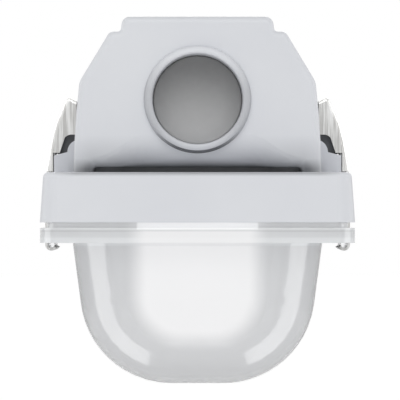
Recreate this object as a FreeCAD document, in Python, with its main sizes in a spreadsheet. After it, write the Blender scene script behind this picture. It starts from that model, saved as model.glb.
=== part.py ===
import FreeCAD
import Part

# Waterproof batten light, hung from its top face.
# Millimetres. X runs across the light, Y along it and Z up. The origin is the middle of the top face,
# which lies against the ceiling.
import math
import os
import re

import Sketcher

# Driving sizes: name, value, meaning.
SIZES = (
    # housing outside
    ("full_length", 660.0, "rim, end to end"),
    ("rim_width", 88.0, "rim across its lower edge"),
    ("rim_height", 14.0, "rim, top to lower edge"),
    ("rim_draft", 1.0, "how far the rim leans in over its height"),
    ("rim_corner", 5.0, "rim corner seen from below"),
    ("rim_edge", 1.4, "rounding of the rim's upper edge"),
    ("rim_skirt", 1.8, "thickness of the rim's outer skirt"),
    ("body_height", 44.0, "ceiling face to rim top"),
    ("wall", 2.2, "housing wall"),
    ("plateau_width", 43.4, "ceiling plateau at its root"),
    ("plateau_top_width", 42.4, "ceiling plateau at its top"),
    ("plateau_height", 4.2, "ceiling plateau over the shoulders"),
    ("plateau_radius", 2.4, "rounding of the plateau's long edges"),
    ("nook_radius", 1.0, "rounding between plateau and shoulder"),
    ("shoulder_width", 49.6, "shoulders, edge to edge"),
    ("shoulder_radius", 2.2, "rounding of the shoulder edges"),
    ("knee_width", 66.6, "flank, knee to knee"),
    ("knee_drop", 18.3, "ceiling face to knee"),
    ("knee_radius", 5.0, "rounding of the knees"),
    ("foot_width", 69.9, "flank where it meets the rim"),
    ("flank_radius", 230.0, "bow of the flank between knee and rim"),
    ("end_setback", 14.0, "rim end to end wall"),
    ("end_radius", 1.8, "rounding round the end walls"),
    ("groove_width", 59.0, "groove at the foot of an end wall"),
    ("groove_run", 30.0, "middle part of that groove with a full rounding"),
    ("groove_height", 1.6, "height of that groove"),
    ("groove_depth", 12.0, "depth of that groove"),
    ("groove_corner", 1.2, "rounding of the groove's upper corners"),
    ("groove_radius", 9.0, "rounding of the end wall into the middle of its groove"),
    ("groove_end_radius", 3.0, "rounding of the end wall into the ends of its groove"),
    ("entry_radius", 12.75, "cable entry bore"),
    ("entry_drop", 23.3, "ceiling face to cable entry axis"),
    ("entry_lead", 0.7, "rounding of the bore's mouth"),
    ("collar_width", 2.25, "collar round the cable entry, across its wall"),
    ("collar_height", 2.5, "collar in front of the end wall"),
    ("collar_edge", 1.5, "rounding of the collar"),
    ("sleeve_length", 12.0, "sleeve behind the cable entry"),
    # housing underside
    ("skirt_inset", 5.6, "rim edge to the inner skirt"),
    ("skirt_thickness", 1.6, "inner skirt"),
    ("skirt_height", 8.8, "inner skirt, top to bottom"),
    ("core_corner", 3.0, "corner of the hollow under the rim"),
    ("fixing_pitch", 400.0, "ceiling holes, centre to centre"),
    ("fixing_radius", 2.75, "ceiling hole"),
    ("fixing_boss_radius", 8.0, "boss inside a ceiling hole"),
    ("fixing_boss_height", 3.0, "height of that boss"),
    ("boss_pitch", 420.0, "tray bosses along the light"),
    ("boss_spread", 56.0, "tray bosses across the light"),
    ("boss_radius", 3.5, "tray boss"),
    ("pilot_radius", 1.3, "pilot hole in a tray boss"),
    ("pilot_depth", 12.0, "depth of that pilot hole"),
    # catch lugs
    ("lug_width", 30.0, "catch lug along the light"),
    ("lug_reach", 7.45, "flank to the lug's outer foot"),
    ("lug_brow", 5.4, "rim top to the lug's step at its outer edge"),
    ("lug_step", 6.4, "rim top to the lug's step at its inner edge"),
    ("lug_neck", 3.5, "flank to the lug's upper part"),
    ("lug_radius", 3.7, "round over the lug's upper part"),
    ("rib_spread", 18.0, "ribs on a lug, centre to centre"),
    ("rib_thickness", 2.0, "rib along the light"),
    ("rib_foot", 6.3, "flank to a rib's outer edge at its foot"),
    ("rib_reach", 5.2, "flank to a rib's outer edge at its top"),
    ("rib_height", 13.0, "rim top to a rib's top"),
    # gasket
    ("gasket_height", 4.8, "gasket, top to bottom"),
    ("gasket_width", 2.7, "gasket across"),
    ("gasket_play", 0.15, "gasket to inner skirt"),
    # cover
    ("cover_gap", 1.5, "rim edge to cover flange"),
    ("flange_height", 4.2, "flange edge, top to bottom"),
    ("flange_plate", 2.2, "flange plate"),
    ("flange_skirt", 1.8, "flange edge, across"),
    ("tongue_inset", 2.8, "flange edge to tongue"),
    ("tongue_width", 2.3, "tongue across"),
    ("tongue_step", 0.7, "how far the tongue's foot stands out"),
    ("tongue_foot", 1.4, "height of the tongue's foot"),
    ("trough_width", 72.0, "trough at the flange's top"),
    ("trough_inset", 8.5, "flange end to trough end at the flange's top"),
    ("trough_depth", 44.5, "flange top to trough bottom"),
    ("trough_draft", 7.27, "lean of the trough's sides in degrees"),
    ("trough_radius", 26.0, "rounding along the trough's bottom"),
    ("trough_end_radius", 14.0, "rounding round the trough's ends"),
    ("cover_wall", 2.0, "trough wall"),
    ("bead_radius", 0.9, "hinge bead under the flange"),
    ("bead_inset", 0.7, "flange edge to bead axis"),
    ("bead_drop", 1.25, "flange underside to bead axis"),
    ("bead_length", 22.0, "hinge bead along the light"),
    ("neck_width", 0.9, "neck between bead and flange"),
    # clips
    ("clip_inset", 75.0, "rim end to the middle of an end clip"),
    ("clip_width", 26.0, "clip along the light"),
    ("clip_sheet", 0.8, "clip sheet"),
    ("curl_play", 0.1, "bead to curl"),
    ("curl_wrap", 150.0, "how far the curl wraps the bead in degrees"),
    ("clip_rise", 7.45, "bead axis to where the plate starts to lean in"),
    ("clip_fold", 1.0, "rounding of the folds between plate and sides"),
    ("clip_crown", 1.2, "rounding of the plate's top"),
    ("clip_knee", 15.0, "rounding of the plate at the end of its bow"),
    ("clip_ledge_out", 0.75, "plate beyond the rim at the rim top"),
    ("clip_ledge", 0.7, "rim top to where the plate's bow starts"),
    ("clip_bow", 90.0, "bow of the plate"),
    ("clip_bend_out", 7.25, "flank to the plate at the end of its bow"),
    ("clip_bend", 14.2, "rim top to the end of the plate's bow"),
    ("clip_top_out", 3.6, "flank to the plate's top"),
    ("clip_top", 22.9, "rim top to the plate's top"),
    ("lip_out", 0.9, "flank to the top lip's edge"),
    ("lip_top", 21.5, "rim top to the top lip's edge"),
    ("arch_out", 5.85, "flank to the arch in a clip's side at its foot"),
    ("arch_foot", 6.2, "rim top to the foot of that arch"),
    ("arch_shoulder_out", 4.35, "flank to the arch's shoulder"),
    ("arch_shoulder", 10.7, "rim top to the arch's shoulder"),
    ("arch_radius", 3.2, "round of the arch"),
    ("arch_top", 11.6, "rim top to the top of the arch"),
    ("side_foot", 2.0, "width of a clip's side below its arch"),
    ("catch_width", 12.0, "pressed catch along the light"),
    ("catch_low", 10.0, "where the catch starts round the lug in degrees"),
    ("catch_high", 65.0, "where the catch ends round the lug in degrees"),
    ("catch_root", 13.2, "rim top to the upper root of the catch"),
    ("catch_root_out", 7.0, "flank to the upper root of the catch"),
    ("catch_gap", 0.3, "lug to the catch"),
    # gear tray
    ("tray_sheet", 1.0, "tray sheet"),
    ("tray_length", 598.0, "tray, end to end"),
    ("tray_wing", 0.7, "inner skirt to the tray's wing"),
    ("channel_width", 36.0, "tray channel, outside"),
    ("channel_depth", 13.8, "tray channel, outside"),
    ("screw_radius", 1.25, "screw shank"),
    ("screw_head_radius", 3.2, "screw head"),
    ("screw_head_height", 2.2, "height of a screw head"),
    ("screw_slot", 0.9, "width and depth of a screw slot"),
    ("screw_play", 0.3, "screw shank to its clearance hole"),
    # light source
    ("board_length", 560.0, "board, end to end"),
    ("board_width", 20.0, "board across"),
    ("board_thickness", 1.6, "board"),
    ("chip_count", 40.0, "chips on the board"),
    ("chip_pitch", 13.5, "chip to chip"),
    ("chip_width", 2.8, "chip along the board"),
    ("chip_length", 3.5, "chip across the board"),
    ("chip_height", 0.7, "chip off the board"),
    ("rivet_pitch", 340.0, "inner pairs of rivets to outer pairs, doubled"),
    ("rivet_inner", 210.0, "inner rivets, centre to centre"),
    ("rivet_side", 6.5, "board centre line to rivet"),
    ("rivet_radius", 1.5, "rivet shank"),
    ("rivet_head_radius", 2.3, "rivet head"),
    ("rivet_head_height", 1.0, "height of a rivet head"),
    # driver
    ("driver_length", 170.0, "driver case, end to end"),
    ("driver_middle", 5.0, "driver case along the light"),
    ("driver_width", 30.0, "driver case across"),
    ("driver_height", 19.0, "driver case without its lid"),
    ("driver_corner", 2.0, "upright corners of the driver case"),
    ("driver_foot", 9.0, "driver foot along the light"),
    ("driver_foot_width", 18.0, "driver foot across"),
    ("driver_foot_height", 2.0, "driver foot"),
    ("lid_height", 2.4, "driver lid"),
    ("lid_seam", 0.6, "step at the lid's seam"),
    # terminal block
    ("block_middle", -146.0, "terminal block along the light"),
    ("block_length", 28.0, "terminal block along the light, end to end"),
    ("block_width", 27.0, "terminal block across"),
    ("block_height", 16.0, "terminal block"),
    ("pole_pitch", 8.0, "pole to pole"),
    ("button_width", 5.0, "release button across"),
    ("button_length", 8.0, "release button along the light"),
    ("button_play", 0.15, "release button to its well"),
    ("button_rise", 2.5, "release button over the block"),
    ("button_depth", 4.0, "release button inside the block"),
    ("well_depth", 6.0, "well of a release button"),
    # wiring
    ("wire_radius", 1.1, "mains wire with its sheath"),
    ("lead_radius", 0.8, "board lead with its sheath"),
    ("port_play", 0.2, "wire to the port it enters"),
    ("port_depth", 6.0, "depth of a wire port"),
    ("port_height", 8.0, "tray floor to the mains ports"),
    ("supply_height", 10.0, "tray floor to the driver's ports"),
    ("supply_pitch", 10.0, "driver's mains ports, centre to centre"),
    ("output_pitch", 8.0, "driver's output ports, centre to centre"),
    ("connector_middle", 124.0, "board connector along the light"),
    ("connector_length", 12.0, "board connector along the light, end to end"),
    ("connector_width", 10.0, "board connector across"),
    ("connector_height", 6.0, "board connector off the board"),
    ("connector_pitch", 4.4, "board connector, pole to pole"),
    ("connector_play", 1.0, "board connector to the window in the tray"),
    ("earth_along", -106.0, "earth screw along the light"),
    ("earth_side", 8.0, "earth screw off the middle"),
    ("tag_radius", 3.8, "earth tag"),
    ("tag_thickness", 0.8, "earth tag sheet"),
    ("tag_tail", 9.0, "earth screw to the end of the tag's barrel"),
    ("barrel_radius", 1.9, "barrel of the earth tag"),
    ("barrel_length", 5.0, "barrel of the earth tag, end to end"),
    # plugs and seals
    ("plug_play", 0.1, "plug to bore"),
    ("plug_recess", 12.0, "collar front to plug face"),
    ("plug_length", 5.6, "plug, end to end"),
    ("plug_face", 1.8, "plug face thickness"),
    ("plug_wall", 1.6, "plug wall"),
    ("plug_edge", 0.6, "rounding of the plug's face"),
    ("seal_radius", 7.0, "seal washer"),
    ("seal_bore", 3.6, "hole in a seal washer"),
    ("seal_thickness", 2.5, "seal washer"),
)

# Places worked out from the sizes.
PLACES = {
    "rim_half": "rim_width / 2",
    "end_half": "full_length / 2",
    "foot_half": "foot_width / 2",
    "knee_half": "knee_width / 2",
    "shoulder_half": "shoulder_width / 2",
    "plateau_half": "plateau_width / 2",
    "plateau_top_half": "plateau_top_width / 2",
    "rim_top": "-body_height",
    "rim_bottom": "rim_top - rim_height",
    "roof_under": "rim_top - wall",
    "wall_end": "end_half - end_setback",
    "collar_front": "wall_end + collar_height",
    "entry_axis": "-entry_drop",
    "groove_top": "rim_top + groove_height + groove_radius",
    "lug_level": "rim_top + lug_step",
    "lug_turn": "foot_half + lug_neck - lug_radius",
    "skirt_half": "rim_half - skirt_inset",
    "skirt_end": "end_half - skirt_inset",
    "gasket_under": "roof_under - gasket_height",
    "flange_top": "rim_bottom - cover_gap",
    "flange_under": "flange_top - flange_height",
    "trough_half": "trough_width / 2",
    "trough_end": "end_half - trough_inset",
    "clip_pitch": "end_half - clip_inset",
    "bead_side": "rim_half - bead_inset",
    "bead_level": "flange_under - bead_drop",
    "curl_inner": "bead_radius + curl_play",
    "curl_outer": "curl_inner + clip_sheet",
    "catch_inner": "lug_radius + catch_gap",
    "catch_outer": "catch_inner + clip_sheet",
    "wing_half": "skirt_half - skirt_thickness - tray_wing",
    "channel_half": "channel_width / 2",
    "floor_under": "roof_under - channel_depth",
    "floor_top": "floor_under + tray_sheet",
    "board_under": "floor_under - board_thickness",
    "rivet_outer": "rivet_inner + 2 * (rivet_pitch - rivet_inner)",
    "clear_radius": "screw_radius + screw_play",
    "driver_top": "floor_top + driver_height",
    "driver_front": "driver_middle - driver_length / 2",
    "driver_back": "driver_middle + driver_length / 2",
    "block_front": "block_middle - block_length / 2",
    "block_back": "block_middle + block_length / 2",
    "block_top": "floor_top + block_height",
    "well_floor": "block_top - well_depth",
    "mains_level": "floor_top + port_height",
    "supply_level": "floor_top + supply_height",
    "connector_front": "connector_middle - connector_length / 2",
    "connector_level": "floor_under + connector_height / 2",
    "tag_top": "floor_top + tag_thickness",
    "barrel_level": "tag_top + barrel_radius",
    "barrel_end": "earth_along - tag_tail",
    "plug_radius": "entry_radius - plug_play",
    "seal_top": "-wall - fixing_boss_height",
}

SIZE_NAMES = {name for name, number, meaning in SIZES}

doc = FreeCAD.newDocument("batten_light")
sheet = doc.addObject("Spreadsheet::Sheet", "Sizes")
for row, (name, number, meaning) in enumerate(SIZES, start=1):
    sheet.set(f"A{row}", name)
    sheet.set(f"B{row}", str(number))
    sheet.set(f"C{row}", meaning)
    sheet.setAlias(f"B{row}", name)
doc.recompute()


def formula(text):
    """Text with its places written out and its sizes read from the sheet."""
    def read(word):
        if word[0] in PLACES:
            return f"({formula(PLACES[word[0]])})"
        return f"Sizes.{word[0]}" if word[0] in SIZE_NAMES else word[0]

    return re.sub(r"[a-z_]+", read, text)


def value(text):
    """Number that a formula gives now."""
    return float(sheet.evalExpression(formula(text)))


def origin_part(body, role):
    """Plane or axis of a body's own origin."""
    return next(part for part in body.Origin.OriginFeatures if part.Role == role)


def new_body(label):
    """Empty body."""
    body = doc.addObject("PartDesign::Body", label)
    body.Label = label
    body.AllowCompound = True
    return body


def sketch_on(body, name, role, offset="0"):
    """Empty sketch on an origin plane of a body, moved along the plane's normal."""
    sketch = body.newObject("Sketcher::SketchObject", name)
    sketch.AttachmentSupport = [(origin_part(body, role), "")]
    sketch.MapMode = "FlatFace"
    sketch.setExpression("AttachmentOffset.Base.z", formula(offset))
    return sketch


def drive(sketch, kind, members, text):
    """Constraint whose number follows a formula."""
    index = sketch.addConstraint(Sketcher.Constraint(kind, *members, value(text)))
    sketch.setExpression(f"Constraints[{index}]", formula(text))


def pin(sketch, edge, end, across, up):
    """Hold one point of a sketch at a driven place."""
    drive(sketch, "DistanceX", (-1, 1, edge, end), across)
    drive(sketch, "DistanceY", (-1, 1, edge, end), up)


def arc_between(start, stop, radius):
    """Short arc from start to stop, turning left where the radius is above zero and right where below."""
    chord = stop - start
    reach = math.sqrt(radius * radius - chord.Length * chord.Length / 4)
    left = FreeCAD.Vector(-chord.y, chord.x, 0).normalize()
    centre = start + chord * 0.5 + left * math.copysign(reach, radius)
    first, last = (start, stop) if radius > 0 else (stop, start)
    angles = [math.atan2(spot.y - centre.y, spot.x - centre.x) for spot in (first, last)]
    circle = Part.Circle(centre, FreeCAD.Vector(0, 0, 1), abs(radius))
    return Part.ArcOfCircle(circle, *angles)


def outline(sketch, corners):
    """Closed outline through the corners. An arc leaves a corner that has a radius as its third item."""
    first = sketch.GeometryCount
    count = len(corners)
    spots = [FreeCAD.Vector(value(corner[0]), value(corner[1]), 0) for corner in corners]
    ends = []
    for index, corner in enumerate(corners):
        start, stop = spots[index], spots[(index + 1) % count]
        if len(corner) == 2:
            sketch.addGeometry(Part.LineSegment(start, stop), False)
            ends.append((1, 2))
        else:
            radius = value(corner[2])
            sketch.addGeometry(arc_between(start, stop, radius), False)
            ends.append((1, 2) if radius > 0 else (2, 1))
    for index, corner in enumerate(corners):
        after = (index + 1) % count
        members = (first + index, ends[index][1], first + after, ends[after][0])
        sketch.addConstraint(Sketcher.Constraint("Coincident", *members))
        pin(sketch, first + index, ends[index][0], corner[0], corner[1])
        if len(corner) == 3:
            drive(sketch, "Radius", (first + index,), f"abs({corner[2]})")


def rectangle(sketch, left, right, low, high):
    """Rectangle between four driven places."""
    outline(sketch, [(left, low), (right, low), (right, high), (left, high)])


def rounded(sketch, half_x, half_y, radius):
    """Rectangle round the middle with rounded corners."""
    x, y = half_x, half_y
    inner_x, inner_y = f"({half_x} - ({radius}))", f"({half_y} - ({radius}))"
    corners = [
        (f"-{inner_x}", f"-({y})"),
        (inner_x, f"-({y})", radius),
        (x, f"-{inner_y}"),
        (x, inner_y, radius),
        (inner_x, y),
        (f"-{inner_x}", y, radius),
        (f"-({x})", inner_y),
        (f"-({x})", f"-{inner_y}", radius),
    ]
    outline(sketch, corners)


def circle(sketch, across, up, radius):
    """Circle round a driven place."""
    centre = FreeCAD.Vector(value(across), value(up), 0)
    edge = sketch.addGeometry(Part.Circle(centre, FreeCAD.Vector(0, 0, 1), value(radius)), False)
    pin(sketch, edge, 3, across, up)
    drive(sketch, "Radius", (edge,), radius)


def swept(body, kind, sketch, length, side, taper):
    """Pad or pocket of a sketch. Its side is along the normal, against it, or both."""
    feature = body.newObject(f"PartDesign::{kind}", f"{sketch.Label}_{kind.lower()}")
    feature.Profile = sketch
    feature.setExpression("Length", formula(length))
    if side == "both":
        feature.SideType = "Symmetric"
    feature.Reversed = side == ("against" if kind == "Pad" else "along")
    if taper != "0":
        feature.setExpression("TaperAngle", formula(taper))
    doc.recompute()
    return feature


def pad(body, sketch, length, side="along", taper="0"):
    """Material added from a sketch."""
    return swept(body, "Pad", sketch, length, side, taper)


def pocket(body, sketch, length, side="both", taper="0"):
    """Material cut away from a sketch."""
    return swept(body, "Pocket", sketch, length, side, taper)


def turned(body, sketch, axis_level):
    """Material made by turning a sketch round a line along the light at a driven level."""
    level = value(axis_level)
    line = Part.LineSegment(FreeCAD.Vector(-1, level, 0), FreeCAD.Vector(1, level, 0))
    edge = sketch.addGeometry(line, True)
    pin(sketch, edge, 1, "-1", axis_level)
    pin(sketch, edge, 2, "1", axis_level)
    feature = body.newObject("PartDesign::Revolution", f"{sketch.Label}_turned")
    feature.Profile = sketch
    feature.ReferenceAxis = (sketch, ["Axis0"])
    feature.Angle = 360
    doc.recompute()
    return feature


def eased(base, name, radius_at, wanted):
    """Rounding along wanted edges of a body, with a radius that changes along an edge."""
    feature = doc.addObject("Part::Fillet", name)
    feature.Base = base
    rows = []
    for number, edge in enumerate(base.Shape.Edges, 1):
        if wanted(edge):
            ends = [edge.valueAt(edge.FirstParameter), edge.valueAt(edge.LastParameter)]
            if edge.Orientation == "Reversed":
                ends.reverse()
            rows.append((number, *map(radius_at, ends)))
    feature.Edges = rows
    doc.recompute()
    return feature


def row_of(body, feature, span, count):
    """The same feature repeated along the light over a span."""
    pattern = body.newObject("PartDesign::LinearPattern", f"{feature.Label}_row")
    pattern.Originals = [feature]
    pattern.Direction = (origin_part(body, "Y_Axis"), [""])
    pattern.setExpression("Length", formula(span))
    pattern.setExpression("Occurrences", formula(count))
    body.Tip = pattern
    doc.recompute()
    return pattern


def fillet(body, name, radius, wanted):
    """Rounding of the edges that are wanted."""
    base = body.Tip
    edges = [f"Edge{index}" for index, edge in enumerate(base.Shape.Edges, start=1) if wanted(edge)]
    feature = body.newObject("PartDesign::Fillet", name)
    feature.Base = (base, edges)
    feature.setExpression("Radius", formula(radius))
    doc.recompute()
    return feature


def middle(edge):
    """Point halfway along an edge."""
    return edge.valueAt((edge.FirstParameter + edge.LastParameter) / 2)


def long_edge(side, level, least=100):
    """Test for an edge that runs along the light at a side and level, left or right."""
    across, up = value(side), value(level)

    def wanted(edge):
        spot = middle(edge)
        near = abs(abs(spot.x) - across) < 0.01 and abs(spot.z - up) < 0.01
        return near and edge.BoundBox.YLength > 2 * abs(spot.y) + least

    return wanted


def at_level(level):
    """Test for an edge that lies flat at a level."""
    up = value(level)
    return lambda edge: edge.BoundBox.ZLength < 0.01 and abs(middle(edge).z - up) < 0.01


def cut_from(label, base, tool):
    """One body cut from another."""
    feature = doc.addObject("Part::Cut", label)
    feature.Base = base
    feature.Tool = tool
    feature.Label = label
    doc.recompute()
    return feature


# Housing, outside: the moulding before its core is taken out.
# Its block has the flanks, the end walls and their grooves.
block = new_body("housing_block")
flank = sketch_on(block, "flank", "XZ_Plane")
outline(flank, [
    ("-foot_half", "rim_top - wall / 2"),
    ("foot_half", "rim_top - wall / 2"),
    ("foot_half", "rim_top", "flank_radius"),
    ("knee_half", "-knee_drop"),
    ("shoulder_half", "-plateau_height"),
    ("plateau_half", "-plateau_height"),
    ("plateau_top_half", "0"),
    ("-plateau_top_half", "0"),
    ("-plateau_half", "-plateau_height"),
    ("-shoulder_half", "-plateau_height"),
    ("-knee_half", "-knee_drop", "flank_radius"),
    ("-foot_half", "rim_top"),
])
pad(block, flank, "2 * wall_end", "both")
fillet(block, "plateau_round", "plateau_radius", long_edge("plateau_top_half", "0"))
fillet(block, "nook_round", "nook_radius", long_edge("plateau_half", "-plateau_height"))
fillet(block, "shoulder_round", "shoulder_radius", long_edge("shoulder_half", "-plateau_height"))
fillet(block, "knee_round", "knee_radius", long_edge("knee_half", "-knee_drop"))


def end_wall_edge(edge):
    """Edges round an end wall, apart from the foot."""
    spot = middle(edge)
    at_wall = edge.BoundBox.YLength < 0.01 and abs(abs(spot.y) - value("wall_end")) < 0.01
    return at_wall and spot.z > value("rim_top")


fillet(block, "end_round", "end_radius", end_wall_edge)

for end, side in (("1", "along"), ("-1", "against")):
    base = f"{end} * (wall_end - groove_depth)"
    groove = sketch_on(block, f"groove_{side}", "XZ_Plane", base)
    rectangle(groove, "-groove_run / 2", "groove_run / 2", "rim_top - wall", "rim_top + groove_height")
    pocket(block, groove, "2 * groove_depth", side).Refine = False
    for half in ("-1", "1"):
        edge = f"{half} * groove_width / 2"
        groove = sketch_on(block, f"groove_{side}_end", "XZ_Plane", base)
        outline(groove, [
            (f"{half} * groove_run / 2", "rim_top - wall"),
            (edge, "rim_top - wall"),
            (edge, "rim_top + groove_height - groove_corner", f"{half} * groove_corner"),
            (f"{edge} - {half} * groove_corner", "rim_top + groove_height"),
            (f"{half} * groove_run / 2", "rim_top + groove_height"),
        ])
        pocket(block, groove, "2 * groove_depth", side).Refine = False
doc.recompute()


def groove_lip(edge):
    """Upper edges of the mouth of a groove in an end wall."""
    spot = middle(edge)
    at_wall = edge.BoundBox.YLength < 0.01 and abs(abs(spot.y) - value("wall_end")) < 0.01
    return at_wall and at_level("rim_top + groove_height")(edge) and edge.Length > value("groove_corner * 2")


def lip_radius(spot):
    """Radius of a groove's lip, full in the middle of the end wall and small at the groove's ends."""
    return value("groove_radius" if abs(spot.x) < value("groove_run / 2") + 0.01 else "groove_end_radius")


shell = new_body("housing_shell")
shell.BaseFeature = eased(block, "groove_lips", lip_radius, groove_lip)

for end, side in (("1", "against"), ("-1", "along")):
    collar = sketch_on(shell, f"collar_{side}", "XZ_Plane", f"{end} * collar_front")
    circle(collar, "0", "entry_axis", "entry_radius + collar_width")
    pad(shell, collar, "collar_height + wall", side)


def collar_rim(edge):
    """Outer edge at the front of a collar."""
    return edge.BoundBox.YLength < 0.01 and abs(abs(middle(edge).y) - value("collar_front")) < 0.01


fillet(shell, "collar_round", "collar_edge", collar_rim)

rim = sketch_on(shell, "rim", "XY_Plane", "rim_bottom")
rounded(rim, "rim_half", "end_half", "rim_corner")
pad(shell, rim, "rim_height", "along", "-atan(rim_draft / rim_height)")


def rim_rim(edge):
    """Upper outer edge of the rim."""
    spot = middle(edge)
    outside = abs(spot.x) > value("rim_half - rim_corner") or abs(spot.y) > value("end_half - rim_corner")
    return at_level("rim_top")(edge) and outside


fillet(shell, "rim_round", "rim_edge", rim_rim)

lug = sketch_on(shell, "lug", "XZ_Plane", "clip_pitch")
for side in ("-1", "1"):
    outline(lug, [
        (f"{side} * (foot_half - wall / 2)", "rim_top - wall / 2"),
        (f"{side} * (foot_half + lug_reach)", "rim_top - wall / 2"),
        (f"{side} * (foot_half + lug_reach)", "rim_top + lug_brow"),
        (f"{side} * (foot_half + lug_neck)", "lug_level", f"{side} * lug_radius"),
        (f"{side} * lug_turn", "lug_level + lug_radius"),
        (f"{side} * (foot_half - wall / 2)", "lug_level + lug_radius"),
    ])
row_of(shell, pad(shell, lug, "lug_width", "both"), "2 * clip_pitch", "3")
for along in ("-1", "1"):
    rib = sketch_on(shell, f"rib_{along}", "XZ_Plane", f"clip_pitch + {along} * rib_spread / 2")
    for side in ("-1", "1"):
        outline(rib, [
            (f"{side} * (foot_half - wall / 2)", "rim_top + lug_brow - wall / 2"),
            (f"{side} * (foot_half + rib_foot)", "rim_top + lug_brow - wall / 2"),
            (f"{side} * (foot_half + rib_foot)", "lug_level"),
            (f"{side} * (foot_half + rib_reach)", "rim_top + rib_height - wall"),
            (f"{side} * foot_half", "rim_top + rib_height"),
            (f"{side} * (foot_half - wall / 2)", "rim_top + rib_height"),
        ])
    row_of(shell, pad(shell, rib, "rib_thickness", "both"), "2 * clip_pitch", "3")

hollow = sketch_on(shell, "hollow", "XY_Plane", "rim_bottom")
rounded(hollow, "rim_half - rim_skirt", "end_half - rim_skirt", "core_corner")
pocket(shell, hollow, "rim_height - wall", "along", "-atan(rim_draft / rim_height)")

skirt = sketch_on(shell, "skirt", "XY_Plane", "roof_under")
rounded(skirt, "skirt_half", "skirt_end", "core_corner")
inner = "skirt_thickness"
rounded(skirt, f"skirt_half - {inner}", f"skirt_end - {inner}", f"core_corner - {inner}")
pad(shell, skirt, "skirt_height", "against")

# Housing, inside: the core that leaves the walls, bosses and sleeves standing.
core = new_body("housing_core")
for name, low, reach in (
    ("core_high", "groove_top", "wall_end - wall"),
    ("core_middle", "groove_top - groove_radius * 0.55", "wall_end - groove_radius / 2"),
    ("core_round", "groove_top - groove_radius + wall", "wall_end - groove_radius"),
    ("core_low", "roof_under - wall / 2", "wall_end - groove_depth - wall"),
):
    room = sketch_on(core, name, "XZ_Plane")
    slope = "(foot_half - knee_half) / (body_height - knee_drop)"
    spread = f"(knee_half - wall - ({low} + knee_drop) * {slope})"
    outline(room, [
        (f"-{spread}", low),
        (spread, low),
        ("knee_half - wall", "-knee_drop - wall / 4"),
        ("shoulder_half - wall * 0.6", "-plateau_height - wall"),
        ("plateau_top_half - wall", "-plateau_height - wall"),
        ("plateau_top_half - wall", "-wall"),
        ("-(plateau_top_half - wall)", "-wall"),
        ("-(plateau_top_half - wall)", "-plateau_height - wall"),
        ("-(shoulder_half - wall * 0.6)", "-plateau_height - wall"),
        ("-(knee_half - wall)", "-knee_drop - wall / 4"),
    ])
    pad(core, room, f"2 * ({reach})", "both")


def corners_of(sketch, half_x, half_y, radius):
    """Four circles, one at each corner of a rectangle round the middle."""
    for across in ("-1", "1"):
        for along in ("-1", "1"):
            circle(sketch, f"{across} * {half_x}", f"{along} * {half_y}", radius)


def pair_along(sketch, pitch, radius):
    """Two circles on the middle line."""
    circle(sketch, "0", f"-{pitch} / 2", radius)
    circle(sketch, "0", f"{pitch} / 2", radius)


tray_boss = sketch_on(core, "tray_boss", "XY_Plane", "roof_under - wall")
corners_of(tray_boss, "boss_spread / 2", "boss_pitch / 2", "boss_radius")
pocket(core, tray_boss, "body_height", "along")
pilot = sketch_on(core, "pilot", "XY_Plane", "roof_under - wall / 2")
corners_of(pilot, "boss_spread / 2", "boss_pitch / 2", "pilot_radius")
pad(core, pilot, "pilot_depth + wall / 2")
fixing_boss = sketch_on(core, "fixing_boss", "XY_Plane", "-wall / 2")
pair_along(fixing_boss, "fixing_pitch", "fixing_boss_radius")
pocket(core, fixing_boss, "wall / 2 + fixing_boss_height", "against")
fixing = sketch_on(core, "fixing", "XY_Plane", "wall")
pair_along(fixing, "fixing_pitch", "fixing_radius")
pad(core, fixing, "3 * wall + fixing_boss_height", "against")
for end, side in (("1", "along"), ("-1", "against")):
    sleeve = sketch_on(core, f"sleeve_{side}", "XZ_Plane", f"{end} * (wall_end - wall - sleeve_length)")
    circle(sleeve, "0", "entry_axis", "entry_radius + collar_width")
    pocket(core, sleeve, "sleeve_length + wall", side)
entry = sketch_on(core, "entry", "YZ_Plane")
outline(entry, [
    ("-collar_front - 1", "entry_axis"),
    ("-collar_front - 1", "entry_axis + entry_radius + entry_lead"),
    ("-collar_front", "entry_axis + entry_radius + entry_lead", "entry_lead"),
    ("-collar_front + entry_lead", "entry_axis + entry_radius"),
    ("collar_front - entry_lead", "entry_axis + entry_radius", "entry_lead"),
    ("collar_front", "entry_axis + entry_radius + entry_lead"),
    ("collar_front + 1", "entry_axis + entry_radius + entry_lead"),
    ("collar_front + 1", "entry_axis"),
])
turned(core, entry, "entry_axis")
housing = cut_from("housing", shell, core)

# Gasket in the rim's channel, lying against the channel's roof.
gasket = new_body("gasket")
foam = sketch_on(gasket, "foam", "XY_Plane", "roof_under")
for reach in ("gasket_play + gasket_width", "gasket_play"):
    rounded(foam, f"skirt_half + {reach}", f"skirt_end + {reach}", "core_corner")
pad(gasket, foam, "gasket_height", "against")

# Clear cover: flange, sealing tongue, hinge beads and trough.
cover_shell = new_body("cover_shell")
flange = sketch_on(cover_shell, "flange", "XY_Plane", "flange_top")
rounded(flange, "rim_half", "end_half", "rim_corner")
pad(cover_shell, flange, "flange_height", "against")
lighten = sketch_on(cover_shell, "lighten", "XY_Plane", "flange_under")
rounded(lighten, "rim_half - flange_skirt", "end_half - flange_skirt", "core_corner")
pocket(cover_shell, lighten, "flange_height - flange_plate", "along")
for name, step, rise in (
    ("tongue", "0", "gasket_under - flange_top"),
    ("tongue_base", "tongue_step", "tongue_foot"),
):
    ring = sketch_on(cover_shell, name, "XY_Plane", "flange_top")
    rounded(ring, f"rim_half - tongue_inset + {step}", f"end_half - tongue_inset + {step}", "core_corner")
    inset = "(tongue_inset + tongue_width)"
    rounded(ring, f"rim_half - {inset}", f"end_half - {inset}", "core_corner")
    pad(cover_shell, ring, rise)
bead = sketch_on(cover_shell, "bead", "XZ_Plane", "clip_pitch")
shoulder = "bead_level + sqrt(bead_radius ^ 2 - neck_width ^ 2 / 4)"
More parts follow.
